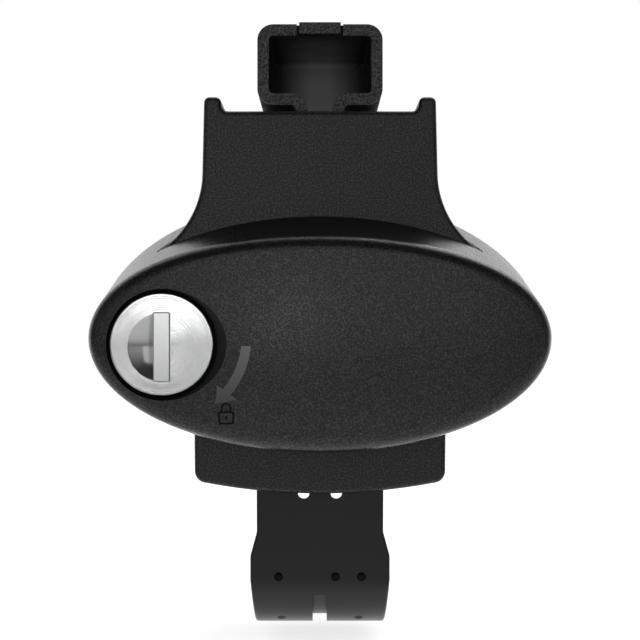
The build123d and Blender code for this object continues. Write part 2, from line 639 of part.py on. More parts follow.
groove_keep = rounded(
    groove_keep,
    groove_bend,
    [(y, STRAP_LOW_Z + GROOVE_D) for y in (STRAP_FRONT_Y + GROOVE_D, STRAP_BACK_Y - GROOVE_D)],
)
groove_face = rect((STRAP_FRONT_Y, STRAP_BACK_Y), (STRAP_LOW_Z, GROOVE_TOP_Z)) - groove_keep
strap -= web(groove_face, *GROOVE_X)
slit_z = (STRAP_LOW_Z, STRAP_LOW_Z + SLIT_D)
slit_y = (STRAP_FRONT_Y + STRAP_BEND_R, STRAP_FRONT_Y + STRAP_BEND_R + SLIT_L)
strap -= both(block((SLIT_X - SLIT_W / 2, SLIT_X + SLIT_W / 2), slit_y, slit_z))
eye_z = (STRAP_END_Z - EYE_EDGE - EYE_H, STRAP_END_Z - EYE_EDGE)
strap -= block((-EYE_HALF_X, EYE_HALF_X), (rail_y[1], STRAP_BACK_Y), eye_z)
rail_strap = strap

# Strap yoke: a folded steel stirrup behind the strap's top, hung on the lever's front pin, and its two pegs
yoke_y = (YOKE_FRONT_Y, YOKE_FRONT_Y + YOKE_T)
yoke_top_z = PIVOT_Z + YOKE_ARM_ABOVE
yoke_arm = rect(YOKE_ARM_Y, (STRAP_TOP_Z + LOOSE, yoke_top_z))
yoke_arm += rect((yoke_y[0], YOKE_ARM_Y[1]), (YOKE_Z[0], yoke_top_z))
slot_y = (FRONT_PIN_Y - YOKE_SLOT_FRONT, FRONT_PIN_Y + YOKE_SLOT_BACK)
yoke_slot = link(slot_y[0], PIVOT_Z, ARM_PIN_R + SLOT_SIDE, slot_y[1], PIVOT_Z, ARM_PIN_R + SLOT_SIDE)
strap_yoke = both(web(yoke_arm - yoke_slot, yoke_arm_in, YOKE_HALF_X))
strap_yoke += block((-YOKE_HALF_X, YOKE_HALF_X), yoke_y, YOKE_Z)
pegs = []
for x in (-STRAP_HOLE_X, STRAP_HOLE_X):
    strap_yoke -= rod_y(STRAP_HOLE_R, x, yoke_y, PEG_Z)
    peg = rod_y(STRAP_HOLE_R, x, (STRAP_FRONT_Y, yoke_y[1]), PEG_Z)
    peg += rod_y(PEG_HEAD_R, x, (STRAP_FRONT_Y - PEG_HEAD_T, STRAP_FRONT_Y), PEG_Z)
    pegs.append(peg.solid())
yoke_pegs = Compound(pegs)

# Clamp head: a formed steel head with an inward shelf and two legs, closed at the back by a rounded nose
head_in_half = HEAD_HALF - HEAD_WALL
head_in_z = (HEAD_SHELF_Z + HEAD_WALL, HEAD_TOP_Z - HEAD_WALL)
head_mid_z = (HEAD_SHELF_Z + HEAD_TOP_Z) / 2
head_h = HEAD_TOP_Z - HEAD_SHELF_Z
head_in_r = HEAD_CORNER_R - HEAD_WALL
head_out = Pos(0, head_mid_z) * RectangleRounded(2 * HEAD_HALF, head_h, HEAD_CORNER_R)
head_in = Pos(0, head_mid_z) * RectangleRounded(2 * head_in_half, head_h - 2 * HEAD_WALL, head_in_r)
head_gap = rect((-LEG_IN, LEG_IN), (HEAD_SHELF_Z, head_in_z[0]))
head_legs = rect((LEG_IN, LEG_HALF), (LEG_LOW_Z, HEAD_SHELF_Z))
section = head_out - head_in - head_gap + head_legs + mirror(head_legs, about=Plane.YZ)
section = rounded(section, LEG_BEND_R, [(LEG_IN, head_in_z[0]), (-LEG_IN, head_in_z[0])])
section = rounded(section, LEG_ROOT_R, [(LEG_HALF, HEAD_SHELF_Z), (-LEG_HALF, HEAD_SHELF_Z)])
nose_y = HEAD_REAR_Y - max(HEAD_NOSE_R + NOSE_LEAN, HEAD_NOSE_PLAN_R)
nose_in_y = HEAD_REAR_Y - HEAD_WALL
hood = slab(head_out, HEAD_FRONT_Y, HEAD_REAR_Y)
hood -= web(nose(HEAD_REAR_Y, (HEAD_SHELF_Z, HEAD_TOP_Z), HEAD_NOSE_R), -BEYOND, BEYOND)
hood -= both(layer(corner(HEAD_HALF, HEAD_REAR_Y, HEAD_NOSE_PLAN_R), 0, 2 * BEYOND))
hollow = slab(head_in, HEAD_FRONT_Y, nose_in_y)
hollow -= web(nose(nose_in_y, head_in_z, HEAD_NOSE_R - HEAD_WALL), -BEYOND, BEYOND)
hollow -= both(layer(corner(head_in_half, nose_in_y, HEAD_NOSE_PLAN_R - HEAD_WALL), 0, 2 * BEYOND))
hood -= hollow
hood -= slab(head_gap, HEAD_FRONT_Y, LEG_END_Y)
front_part = block((-BEYOND, BEYOND), (HEAD_FRONT_Y, nose_y), (LEG_LOW_Z, BEYOND * 2))
clamp_head = hood - front_part + slab(section, HEAD_FRONT_Y, nose_y)
leg_rest = rect((nose_y, LEG_END_Y), (LEG_LOW_Z, HEAD_SHELF_Z))
ear = rect(EAR_Y, (PIVOT_Z, LEG_LOW_Z)) + Pos(sum(EAR_Y) / 2, PIVOT_Z) * Circle((EAR_Y[1] - EAR_Y[0]) / 2)
ear_slot_r = ARM_PIN_R + SLOT_SIDE
ear -= link(REAR_PIN_Y - EAR_SLOT_FRONT, PIVOT_Z, ear_slot_r, REAR_PIN_Y + EAR_SLOT_BACK, PIVOT_Z, ear_slot_r)
clamp_head += both(web(leg_rest + ear, LEG_IN, LEG_HALF))

# the tongue lanced out of the head's top wall, a little proud of it
tab_y = (HEAD_FRONT_Y, HEAD_FRONT_Y + TAB_L)
tab_z = (head_in_z[1], HEAD_TOP_Z)
clamp_head -= both(block((TAB_HALF, TAB_HALF + TAB_SLIT), tab_y, tab_z))
tab_wedge = make_face(Polyline((tab_y[0], 0), (tab_y[0], TAB_RAISE), (tab_y[1], 0), close=True))
clamp_head += web(Pos(0, tab_z[1]) * tab_wedge, -TAB_HALF, TAB_HALF)
clamp_head -= web(Pos(0, tab_z[0]) * tab_wedge, -TAB_HALF, TAB_HALF)


def cover_outline(y, inset):
    """The cover's outline at a depth y, shrunk by a wall's thickness."""
    share = (y - COVER_RIM_Y) / (COVER_BACK_Y - COVER_RIM_Y)
    half = COVER_HALF_W + share * (COVER_BACK_HALF_W - COVER_HALF_W) - inset
    mid = COVER_MID_Z + share * (COVER_BACK_MID_Z - COVER_MID_Z)
    rise = COVER_RISE + share * (COVER_BACK_RISE - COVER_RISE) - inset
    drop = COVER_DROP + share * (COVER_BACK_DROP - COVER_DROP) - inset
    upper = EllipticalCenterArc((0, mid), half, rise, 0, arc_size=180)
    lower = EllipticalCenterArc((0, mid), half, drop, 180, arc_size=180)
    return Plane.XZ.offset(-y) * make_face([upper, lower])


# Cover: a deep oval cap moulded in textured plastic, with the lock's recess and two locating tongues
cover_start_y = COVER_APEX_Y - COVER_WALL
dome = Pos(0, COVER_APEX_Y + COVER_DOME_R, COVER_MID_Z) * Sphere(COVER_DOME_R)
dome_in = Pos(0, COVER_APEX_Y + COVER_DOME_R, COVER_MID_Z) * Sphere(COVER_DOME_R - COVER_WALL)
cap_side = loft([cover_outline(cover_start_y, 0), cover_outline(COVER_BACK_Y, 0)], ruled=True)
cap = cap_side & dome
front_rim = cap.edges().filter_by(lambda e: e.center().Y < COVER_RIM_Y + COVER_EDGE_R)
rim_edges = front_rim.filter_by(lambda e: e.length > COVER_HALF_W)
cap = fillet(rim_edges, COVER_EDGE_R)
inside = loft([cover_outline(cover_start_y, COVER_WALL), cover_outline(COVER_BACK_Y, COVER_WALL)], ruled=True)
inside &= dome_in
cover = cap - inside
cup_r = LOCK_POCKET_R + LOCK_CUP_WALL
fitted = rod_y(cup_r, LOCK_X, (cover_start_y, LOCK_BACK_Y + LOCK_CUP_WALL), LOCK_Z)
fitted += rod_y(LOCK_BOSS_R, LOCK_X, (LOCK_BACK_Y, LOCK_BOSS_END_Y), LOCK_Z)
for z in TONGUE_Z:
    tongue_x = (TONGUE_X - TONGUE_T / 2, TONGUE_X + TONGUE_T / 2)
    fitted += block(tongue_x, (COVER_APEX_Y, TONGUE_END_Y), (z - TONGUE_W / 2, z + TONGUE_W / 2))
cover += fitted & cap
recess_h = LOCK_FACE_Y - cover_start_y
recess_half_w = LOCK_POCKET_R + recess_h * tan(radians(LOCK_RAMP_DEG)) / 2
recess_floor = Pos(LOCK_X, LOCK_Z) * Circle(LOCK_POCKET_R)
recess_mouth = Pos(LOCK_X - LOCK_POCKET_R + recess_half_w, LOCK_Z) * Ellipse(recess_half_w, LOCK_POCKET_R)
recess_ends = [Plane.XZ.offset(-LOCK_FACE_Y) * recess_floor, Plane.XZ.offset(-cover_start_y) * recess_mouth]
cover -= loft(recess_ends, ruled=True)
cover -= rod_y(LOCK_POCKET_R, LOCK_X, (LOCK_FACE_Y, LOCK_BACK_Y + FACE_GAP), LOCK_Z)
cover -= rod_y(LOCK_BARREL_R + RUN, LOCK_X, (LOCK_BACK_Y, LOCK_BOSS_END_Y), LOCK_Z)
cut_y = (FRONT_Y - COVER_GAP, COVER_BACK_Y)
cover -= slab(offset(wings, COVER_GAP), *cut_y)
cover -= slab(offset(skirt, COVER_GAP), *cut_y)

# Lock plug: a die-cast disc and barrel in one, with a dished finger recess beside a grip bar
disc = rod_y(LOCK_DISC_R, LOCK_X, (LOCK_FACE_Y, LOCK_BACK_Y), LOCK_Z)
disc = fillet(disc.edges().group_by(Axis.Y)[0], LOCK_EDGE_R)
grip_z = LOCK_Z - GRIP_DROP
dish_r = (FINGER_R**2 + FINGER_DEPTH**2) / (2 * FINGER_DEPTH)
dish = Pos(LOCK_X, LOCK_FACE_Y + FINGER_DEPTH - dish_r, grip_z) * Sphere(dish_r)
disc -= dish - block((LOCK_X - GRIP_W / 2, BEYOND), (-2 * BEYOND, BEYOND), (-BEYOND, 2 * BEYOND))
grip_face = Pos(LOCK_X, grip_z) * RectangleRounded(GRIP_W, GRIP_L, GRIP_CORNER_R)
grip = slab(grip_face, LOCK_FACE_Y - GRIP_PROUD, LOCK_FACE_Y + FINGER_DEPTH)
disc += fillet(grip.edges().group_by(Axis.Y)[0], GRIP_EDGE_R)
lock_plug = disc + rod_y(LOCK_BARREL_R, LOCK_X, (LOCK_BACK_Y, LOCK_BOSS_END_Y + FACE_GAP), LOCK_Z)
lock_plug += rod_y(LOCK_NECK_R, LOCK_X, (LOCK_BOSS_END_Y, CAM_Y), LOCK_Z)
lock_square = Pos(LOCK_X, LOCK_Z) * Rectangle(CAM_SQUARE, CAM_SQUARE)
lock_plug += slab(lock_square, CAM_Y, CAM_Y + CAM_T)
cam_back_y = CAM_Y + CAM_T
cam_screw_y = (cam_back_y - CAM_SCREW_L, cam_back_y)
lock_plug -= rod_y(CAM_SCREW_R, LOCK_X, cam_screw_y, LOCK_Z)

# Lock clip: an open spring ring on the barrel's neck, behind the cover's boss
clip_y = (LOCK_BOSS_END_Y + FACE_GAP, LOCK_BOSS_END_Y + FACE_GAP + LOCK_CLIP_T)
lock_clip = rod_y(LOCK_CLIP_R, LOCK_X, clip_y, LOCK_Z) - rod_y(LOCK_NECK_R, LOCK_X, clip_y, LOCK_Z)
clip_mouth_x = (LOCK_X - LOCK_CLIP_MOUTH / 2, LOCK_X + LOCK_CLIP_MOUTH / 2)
lock_clip -= block(clip_mouth_x, clip_y, (LOCK_Z - LOCK_CLIP_R, LOCK_Z))

# Lock cam: a steel tongue on the barrel's square, which turns into the housing's pocket, and its screw
cam_face = Pos(LOCK_X, LOCK_Z) * Circle(CAM_HUB_R)
cam_tip_z = LOCK_Z + CAM_REACH
cam_arm = rect((LOCK_X - CAM_W / 2, LOCK_X + CAM_W / 2), (LOCK_Z, cam_tip_z))
cam_arm = rounded(cam_arm, CAM_CORNER_R, [(LOCK_X - CAM_W / 2, cam_tip_z), (LOCK_X + CAM_W / 2, cam_tip_z)])
lock_cam = slab(cam_face + cam_arm - lock_square, CAM_Y, cam_back_y)
cam_screw_size = (CAM_SCREW_R, CAM_SCREW_L, CAM_SCREW_HEAD_R, CAM_SCREW_HEAD_T)
cam_screw = pan_screw(LOCK_X, LOCK_Z, cam_back_y, *cam_screw_size)

os.makedirs("parts", exist_ok=True)
pieces = {
    "housing": housing,
    "rail_pad": rail_pad,
    "rear_cover": rear_cover,
    "rear_screws": rear_screws,
    "strap_hook": strap_hook,
    "hook_screws": hook_screws,
    "lever_pin": lever_pin,
    "pin_clips": pin_clips,
    "rocker_lever": rocker_lever,
    "front_pin": front_pin,
    "rear_pin": rear_pin,
    "trunnion_nut": trunnion_nut,
    "tension_bolt": tension_bolt,
    "bolt_washer": bolt_washer,
    "bolt_collar": bolt_collar,
    "thrust_plate": thrust_plate,
    "rail_strap": rail_strap,
    "strap_yoke": strap_yoke,
    "yoke_pegs": yoke_pegs,
    "clamp_head": clamp_head,
    "cover": cover,
    "lock_plug": lock_plug,
    "lock_clip": lock_clip,
    "lock_cam": lock_cam,
    "cam_screw": cam_screw,
}
for node, piece in pieces.items():
    export_step(piece, f"parts/{node}.step")
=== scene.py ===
import json
import math

import bpy
import numpy as np
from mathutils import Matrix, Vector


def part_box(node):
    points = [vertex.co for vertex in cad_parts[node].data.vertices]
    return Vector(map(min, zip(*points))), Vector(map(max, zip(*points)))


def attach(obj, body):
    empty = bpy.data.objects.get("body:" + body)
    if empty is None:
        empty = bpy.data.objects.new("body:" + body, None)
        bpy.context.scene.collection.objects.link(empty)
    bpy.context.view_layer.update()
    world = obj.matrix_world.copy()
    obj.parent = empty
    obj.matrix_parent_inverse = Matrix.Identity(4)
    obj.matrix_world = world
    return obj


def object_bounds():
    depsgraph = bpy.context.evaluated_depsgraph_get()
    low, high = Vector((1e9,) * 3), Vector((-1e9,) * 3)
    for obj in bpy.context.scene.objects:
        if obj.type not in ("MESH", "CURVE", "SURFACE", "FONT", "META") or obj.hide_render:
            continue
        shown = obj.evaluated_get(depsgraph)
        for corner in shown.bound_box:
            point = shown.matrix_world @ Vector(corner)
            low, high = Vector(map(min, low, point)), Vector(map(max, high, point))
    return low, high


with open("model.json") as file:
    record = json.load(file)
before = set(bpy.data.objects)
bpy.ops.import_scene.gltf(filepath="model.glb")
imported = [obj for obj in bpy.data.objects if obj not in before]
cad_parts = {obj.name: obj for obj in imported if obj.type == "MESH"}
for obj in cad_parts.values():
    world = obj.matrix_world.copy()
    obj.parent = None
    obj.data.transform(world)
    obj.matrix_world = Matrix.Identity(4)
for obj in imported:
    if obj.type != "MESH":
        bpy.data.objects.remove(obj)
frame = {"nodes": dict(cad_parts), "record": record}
cad_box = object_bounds()


# Housing and rear cover: an injection moulding in black glass-filled nylon,
# and a lid of the same nylon that is screwed over its inboard side. The
# mould leaves a dull grain, and short glass fibres float up here and there.
class Wire:
    """A finish's output socket. Arithmetic on it adds Math nodes, and node() adds any other node."""

    def __init__(self, socket):
        self.socket = socket

    def node(self, kind, settings, sockets, out=0):
        """A new node of a kind: its settings are set first, then the value or the link of each socket."""
        tree = self.socket.id_data
        made = tree.nodes.new(kind)
        for name, value in settings.items():
            setattr(made, name, value)
        for name, value in sockets.items():
            if isinstance(value, Wire):
                tree.links.new(value.socket, made.inputs[name])
            else:
                made.inputs[name].default_value = value
        return Wire(made.outputs[out]) if made.outputs else None

    def math(self, operation, first, second):
        return self.node("ShaderNodeMath", {"operation": operation}, {0: first, 1: second})

    def __add__(self, other):
        return self.math("ADD", self, other)

    __radd__ = __add__

    def __sub__(self, other):
        return self.math("SUBTRACT", self, other)

    def __rsub__(self, other):
        return self.math("SUBTRACT", other, self)

    def __mul__(self, other):
        return self.math("MULTIPLY", self, other)

    __rmul__ = __mul__

    def __abs__(self):
        return self.math("ABSOLUTE", self, 0.0)


def finish(name):
    """A new, empty finish and the wire of its Object coordinates, in metres."""
    material = bpy.data.materials.new(name)
    material.use_nodes = True
    material.node_tree.nodes.clear()
    place = material.node_tree.nodes.new("ShaderNodeTexCoord")
    return material, Wire(place.outputs["Object"])


def grain(place, size, detail=2.0, rough=0.5):
    """A random field from 0 to 1 whose lumps are about size metres across."""
    sockets = {"Vector": place, "Scale": 1 / size, "Detail": detail, "Roughness": rough}
    return place.node("ShaderNodeTexNoise", {}, sockets)


def blend(factor, first, second):
    """The first colour where the factor is 0, the second where it is 1."""
    settings = {"data_type": "RGBA", "clamp_factor": True}
    return factor.node("ShaderNodeMix", settings, {0: factor, 6: first, 7: second}, out=2)


def ramp(value, low, high):
    """0 below low, 1 above high and a straight slope between."""
    settings = {"interpolation_type": "LINEAR", "clamp": True}
    return value.node("ShaderNodeMapRange", settings, {"Value": value, "From Min": low, "From Max": high})


def relief(height, depth, strength=1.0):
    """The bumped normal of a height field from 0 to 1 that is depth metres deep."""
    return height.node("ShaderNodeBump", {}, {"Strength": strength, "Distance": depth, "Height": height})


def coat(material, place, sockets):
    """Closes a finish with its Principled shader and returns the finish."""
    surface = place.node("ShaderNodeBsdfPrincipled", {}, sockets)
    place.node("ShaderNodeOutputMaterial", {}, {"Surface": surface})
    return material


def dress(material, *names):
    """Gives CAD nodes a finish through the slots they already have."""
    for name in names:
        for slot in frame["nodes"][name].material_slots:
            slot.material = material


nylon, p = finish("black_glass_filled_nylon")
nylon_grain = grain(p, 0.00050, 2.0, 0.6)
nylon_cloud = grain(p, 0.011, 3.0)
nylon_fibre = ramp(grain(p, 0.0002, 1.0), 0.70, 0.78)
nylon_tone = blend(ramp(nylon_grain, 0.38, 0.66), (0.0010, 0.0010, 0.0010, 1), (0.0090, 0.0090, 0.0092, 1))
nylon_sockets = {
    "Base Color": blend(nylon_fibre * 0.5, nylon_tone, (0.035, 0.035, 0.036, 1)),
    "Roughness": 0.30 + 0.10 * nylon_cloud + 0.10 * nylon_grain,
    "Specular IOR Level": 0.27,
    "Coat Weight": 0.16 + 0.68 * ramp(nylon_grain, 0.47, 0.68),
    "Coat Roughness": 0.32,
    "Normal": relief(nylon_grain, 0.00009),
}
dress(coat(nylon, p, nylon_sockets), "housing", "rear_cover")


# Rail pad: soft black rubber pressed into the housing's sole, bloomed
# a little grey as rubber does, with a fine matt pebble from its mould.
pad_rubber, p = finish("soft_pad_rubber")
pad_pebble = grain(p, 0.0007, 2.0)
pad_bloom = ramp(grain(p, 0.009, 4.0, 0.6), 0.40, 0.75)
pad_sockets = {
    "Base Color": blend(pad_bloom, (0.010, 0.010, 0.010, 1), (0.019, 0.0185, 0.018, 1)),
    "Roughness": 0.70 + 0.18 * pad_pebble,
    "Specular IOR Level": 0.25,
    "Normal": relief(pad_pebble, 0.00008),
}
dress(coat(pad_rubber, p, pad_sockets), "rail_pad")


# Screws, pins, bolt and washers: turned or headed steel, zinc plated, with faint
# drawing lines along Y and a plating that is bright in places and dull in others.
zinc, p = finish("zinc_plated_steel")
zinc_lines = grain(p.node("ShaderNodeMapping", {}, {"Vector": p, "Scale": (1.0, 0.06, 1.0)}), 0.00018, 2.0)
zinc_bloom = grain(p, 0.0032, 4.0, 0.65)
zinc_sockets = {
    "Base Color": blend(zinc_bloom, (0.52, 0.53, 0.56, 1), (0.70, 0.71, 0.72, 1)),
    "Metallic": 1.0,
    "Roughness": 0.22 + 0.16 * zinc_bloom + 0.08 * zinc_lines,
    "Normal": relief(zinc_lines, 0.000012),
}
zinc_screws = ["rear_screws", "hook_screws", "cam_screw", "tension_bolt", "bolt_washer"]
zinc_pins = ["lever_pin", "front_pin", "rear_pin", "yoke_pegs"]
dress(coat(zinc, p, zinc_sockets), *zinc_screws, *zinc_pins)


# Spring clips and the bolt's collar: blued spring steel, still oily,
# almost black with a brown cast. The clips are pushed on over the lever's
# pivot and the lock's barrel, and the collar keeps the bolt in its wall.
blued, p = finish("blued_spring_steel")
blued_bloom = grain(p, 0.0016, 4.0, 0.6)
blued_sockets = {
    "Base Color": blend(blued_bloom, (0.055, 0.058, 0.068, 1), (0.13, 0.115, 0.10, 1)),
    "Metallic": 1.0,
    "Roughness": 0.26 + 0.20 * blued_bloom,
    "Normal": relief(grain(p, 0.00025, 2.0), 0.00001),
}
dress(coat(blued, p, blued_sockets), "pin_clips", "lock_clip", "bolt_collar")


# Lever, nut, thrust plate, yoke and lock cam: plain steel forgings and
# pressings, passivated to a dull grey with the faint mottling of tumbled parts.
dull_steel, p = finish("passivated_steel")
dull_mottle = grain(p, 0.0024, 5.0, 0.65)
dull_peen = grain(p, 0.0006, 2.0)
dull_sockets = {
    "Base Color": blend(dull_mottle, (0.25, 0.25, 0.255, 1), (0.43, 0.43, 0.42, 1)),
    "Metallic": 1.0,
    "Roughness": 0.34 + 0.22 * dull_mottle,
    "Normal": relief(dull_peen, 0.00003),
}
dull_nodes = ["rocker_lever", "trunnion_nut", "thrust_plate", "strap_yoke", "lock_cam"]
dress(coat(dull_steel, p, dull_sockets), *dull_nodes)


# Rail strap: a steel band coated all over in black rubber, which leaves it
# smooth with a low satin sheen and fine flow lines down its length. Its bend
# and its groove are rubbed shinier. Its dents are painted dark as shade, as bare
# uncoated black metal, darkest at their top and lighter low down, and two dark
# spots of painted shade low on the bend stand for dents.
def axes(place):
    """The X, Y and Z of a place, each a wire of its own."""
    return [place.node("ShaderNodeSeparateXYZ", {}, {"Vector": place}, out=axis) for axis in range(3)]


def distance(place, point):
    """How far a place lies from a point, in metres."""
    return place.node("ShaderNodeVectorMath", {"operation": "DISTANCE"}, {0: place, 1: point}, out=1)


STRAP_FRONT_Y, STRAP_LOW_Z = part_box("rail_strap")[0][1:]
DENT_Z, DENT_RADIUS, DENT_END_X = -0.0290, 0.0013, 0.0145
DENT_MOUTH, DENT_FLOOR = (0.0003, 0.0007), (0.0030, 0.0035)
BEND_DENT = (0.0114, -0.0185, -0.0420)
BEND_FADE = (0.0006, 0.0151)
GROOVE_HALF, GROOVE_TOP_Z = 0.0019, -0.0346
strap_rubber, p = finish("coated_strap_rubber")
strap_x, strap_y, strap_z = axes(p)
strap_side, strap_depth = abs(strap_x), strap_y - STRAP_FRONT_Y
strap_half = p.node("ShaderNodeCombineXYZ", {}, {"X": strap_side, "Y": strap_y, "Z": strap_z})
# Painted shade in the dents: a dark, bare, uncoated colour, full at the top of each dent and weaker low down.
dent_row_shade = 1 - ramp(abs(strap_z - DENT_Z), DENT_RADIUS + 0.0003, DENT_RADIUS + 0.0005)
dent_row_shade *= ramp(strap_depth, *DENT_MOUTH) * (1 - ramp(strap_depth, *DENT_FLOOR))
dent_row_shade *= 1 - ramp(strap_side, DENT_END_X, DENT_END_X + 0.0005)
dent_row_shade *= 0.30 + 0.70 * ramp(strap_z, DENT_Z - 0.0012, DENT_Z + 0.0006)
# Painted shade: two dark spots low on the bend, drawn as dents.
painted_bend_dents = 1 - ramp(distance(strap_half, BEND_DENT), DENT_RADIUS - 0.0002, DENT_RADIUS + 0.0001)
strap_dent_shade = p.math("MAXIMUM", dent_row_shade, painted_bend_dents)
strap_groove = 1 - ramp(strap_side, GROOVE_HALF - 0.0001, GROOVE_HALF)
strap_groove *= 1 - ramp(strap_z, GROOVE_TOP_Z - 0.0004, GROOVE_TOP_Z)
strap_bend = 1 - ramp(strap_z - STRAP_LOW_Z, *BEND_FADE)
strap_rub = p.math("MAXIMUM", strap_groove, strap_bend)
strap_flow = grain(p.node("ShaderNodeMapping", {}, {"Vector": p, "Scale": (1.0, 0.10, 0.10)}), 0.0011, 3.0)
strap_pebble = grain(p, 0.00033, 2.0)
strap_patch = ramp(grain(p, 0.014, 3.0), 0.35, 0.7)
strap_tone = blend(strap_patch, (0.0020, 0.0020, 0.0021, 1), (0.0045, 0.0045, 0.0046, 1))
strap_sockets = {
    "Base Color": blend(strap_dent_shade, strap_tone, (0.0030, 0.0030, 0.0030, 1)),
    "Metallic": strap_dent_shade,
    "Roughness": 0.34 + 0.10 * strap_patch + 0.06 * strap_flow,
    "Specular IOR Level": 0.35,
    "Coat Weight": 0.80 * strap_rub * (1 - strap_dent_shade),
    "Coat Roughness": 0.34,
    "Normal": relief(0.6 * strap_pebble + 0.4 * strap_flow, 0.00002),
}
dress(coat(strap_rubber, p, strap_sockets), "rail_strap")


# Clamp head and strap hook: steel pressings in a coarse black powder coat, whose orange peel
# and grit catch the light as small glints. Behind the head's front edge the powder is dull and its
# colour is painted darker as shade. Inside the hollow head a pale colour is painted in as the light
# that reaches in, stronger with depth and near the ceiling and weaker towards the sides.
HEAD_FRONT_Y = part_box("clamp_head")[0][1]
HEAD_EDGE, NECK_Z = (0.0005, 0.0020), (0.085, 0.095)
HOLLOW_HALF, HOLLOW_FLOOR_Z, HOLLOW_CEILING_Z = 0.0156, 0.1115, 0.1300
HOLLOW_LIGHT_DEPTH, HOLLOW_LIGHT_SIDE = (-0.0005, 0.0415), (0.003, 0.013)
powder, p = finish("coarse_black_powder_coat")
powder_peel = grain(p, 0.0012, 2.0)
powder_grit = grain(p, 0.00065, 2.0, 0.7)
head_x, head_y, head_z = axes(p)
head_side, head_depth = abs(head_x), head_y - HEAD_FRONT_Y
# Behind the front edge the powder is rougher and flatter, and its light lumps are painted darker as shade.
head_dull_and_shaded = ramp(head_depth, *HEAD_EDGE) * ramp(head_z, *NECK_Z)
head_inside = (1 - ramp(head_side, HOLLOW_HALF - 0.0004, HOLLOW_HALF)) * head_dull_and_shaded
head_inside *= ramp(head_z, HOLLOW_FLOOR_Z, HOLLOW_FLOOR_Z + 0.0005)
head_inside *= 1 - ramp(head_z, HOLLOW_CEILING_Z - 0.0004, HOLLOW_CEILING_Z)
powder_lumps_shaded = ramp(powder_grit, 0.40, 0.68) * (1 - 0.9 * head_dull_and_shaded)
powder_tone = blend(powder_lumps_shaded, (0.0012, 0.0012, 0.0012, 1), (0.030, 0.030, 0.0305, 1))
# Painted light in the hollow: a pale colour that grows with depth, falls off towards the sides and is full
# near the ceiling.
light_depth_weight = ramp(head_depth, *HOLLOW_LIGHT_DEPTH)
hollow_painted_light = head_inside * light_depth_weight * light_depth_weight * (1 - 0.9 * ramp(head_side, *HOLLOW_LIGHT_SIDE))
hollow_painted_light *= 0.58 + 0.42 * ramp(head_z, HOLLOW_CEILING_Z - 0.0025, HOLLOW_CEILING_Z - 0.0010)
powder_sockets = {
    "Base Color": blend(hollow_painted_light, powder_tone, (0.90, 0.90, 0.905, 1)),
    "Roughness": 0.34 + 0.16 * powder_peel + 0.36 * head_dull_and_shaded,
    "Specular IOR Level": 0.33,
    "Coat Weight": 0.90 * powder_lumps_shaded,
    "Coat Roughness": 0.30,
    "Normal": relief((0.55 * powder_peel + 0.45 * powder_grit) * (1 - 0.8 * head_dull_and_shaded), 0.0004),
}
dress(coat(powder, p, powder_sockets), "clamp_head", "strap_hook")


# Cover: a deep oval cap moulded in black plastic. Its mould is spark eroded,
# which leaves an even, fine grain with tiny bright points, and handling rubs
# it a little smoother in clouds. The lock's recess is left matt.
DOME_RADIUS = 0.230
DOME_CENTRE = (0.0, 0.1785, 0.0404)
JOINTS = {joint["name"]: joint for joint in frame["record"]["behaviour"]["joints"]}
LOCK_FACE = tuple(JOINTS["lock_turn"]["pos_m"])
LOCK_RING_RADIUS = 0.0162
RECESS_SHIFT, RECESS_RADIUS = 0.0124, 0.0160
RECESS_MIDDLE = (LOCK_FACE[0] + RECESS_SHIFT, *LOCK_FACE[1:])
cover_plastic, p = finish("spark_eroded_cover_plastic")
lock_ring = 1 - ramp(distance(p, LOCK_FACE), LOCK_RING_RADIUS, LOCK_RING_RADIUS + 0.0004)
lock_recess = 1 - ramp(distance(p, RECESS_MIDDLE), RECESS_RADIUS, RECESS_RADIUS + 0.0020)
under_dome = 1 - ramp(distance(p, DOME_CENTRE), DOME_RADIUS - 0.0004, DOME_RADIUS - 0.0001)
cover_matt = p.math("MAXIMUM", lock_recess, lock_ring) * under_dome
cover_grain = grain(p, 0.00050, 2.0, 0.6)
cover_pit = grain(p, 0.0011, 2.0)
cover_rub = ramp(grain(p, 0.019, 3.0), 0.35, 0.72)
cover_tone = blend(ramp(cover_grain, 0.38, 0.66), (0.0010, 0.0010, 0.0010, 1), (0.0090, 0.0090, 0.0092, 1))
cover_sockets = {
    "Base Color": cover_tone,
    "Roughness": 0.27 - 0.04 * cover_rub + 0.08 * cover_grain + 0.40 * cover_matt,
    "Specular IOR Level": 0.34,
    "Coat Weight": (0.18 + 0.82 * ramp(cover_grain, 0.46, 0.66)) * (1 - cover_matt),
    "Coat Roughness": 0.27,
    "Normal": relief(0.65 * cover_grain + 0.35 * cover_pit, 0.00006),
}
dress(coat(cover_plastic, p, cover_sockets), "cover")


# Lock plug: a zinc die casting, turned on its face and satin chromed. The turning leaves rings
# round the lock's axis, and the grip bar and the finger recess keep the duller skin of the casting.
BAR_FACE, DISH_FACE = (-0.0005, -0.0002), (0.0001, 0.0003)
satin, p = finish("satin_chrome")
from_axis = p.node("ShaderNodeVectorMath", {"operation": "SUBTRACT"}, {0: p, 1: LOCK_FACE})
from_axis = p.node("ShaderNodeVectorMath", {"operation": "MULTIPLY"}, {0: from_axis, 1: (1.0, 0.0, 1.0)})
ring_radius = p.node("ShaderNodeVectorMath", {"operation": "LENGTH"}, {0: from_axis}, out=1)
ring_sockets = {"W": ring_radius, "Scale": 9000.0, "Detail": 3.0}
turned = p.node("ShaderNodeTexNoise", {"noise_dimensions": "1D"}, ring_sockets)
satin_haze = grain(p, 0.005, 4.0, 0.6)
face_depth = axes(p)[1] - LOCK_FACE[1]
on_bar = 1 - ramp(face_depth, *BAR_FACE)
in_dish = ramp(face_depth, *DISH_FACE)
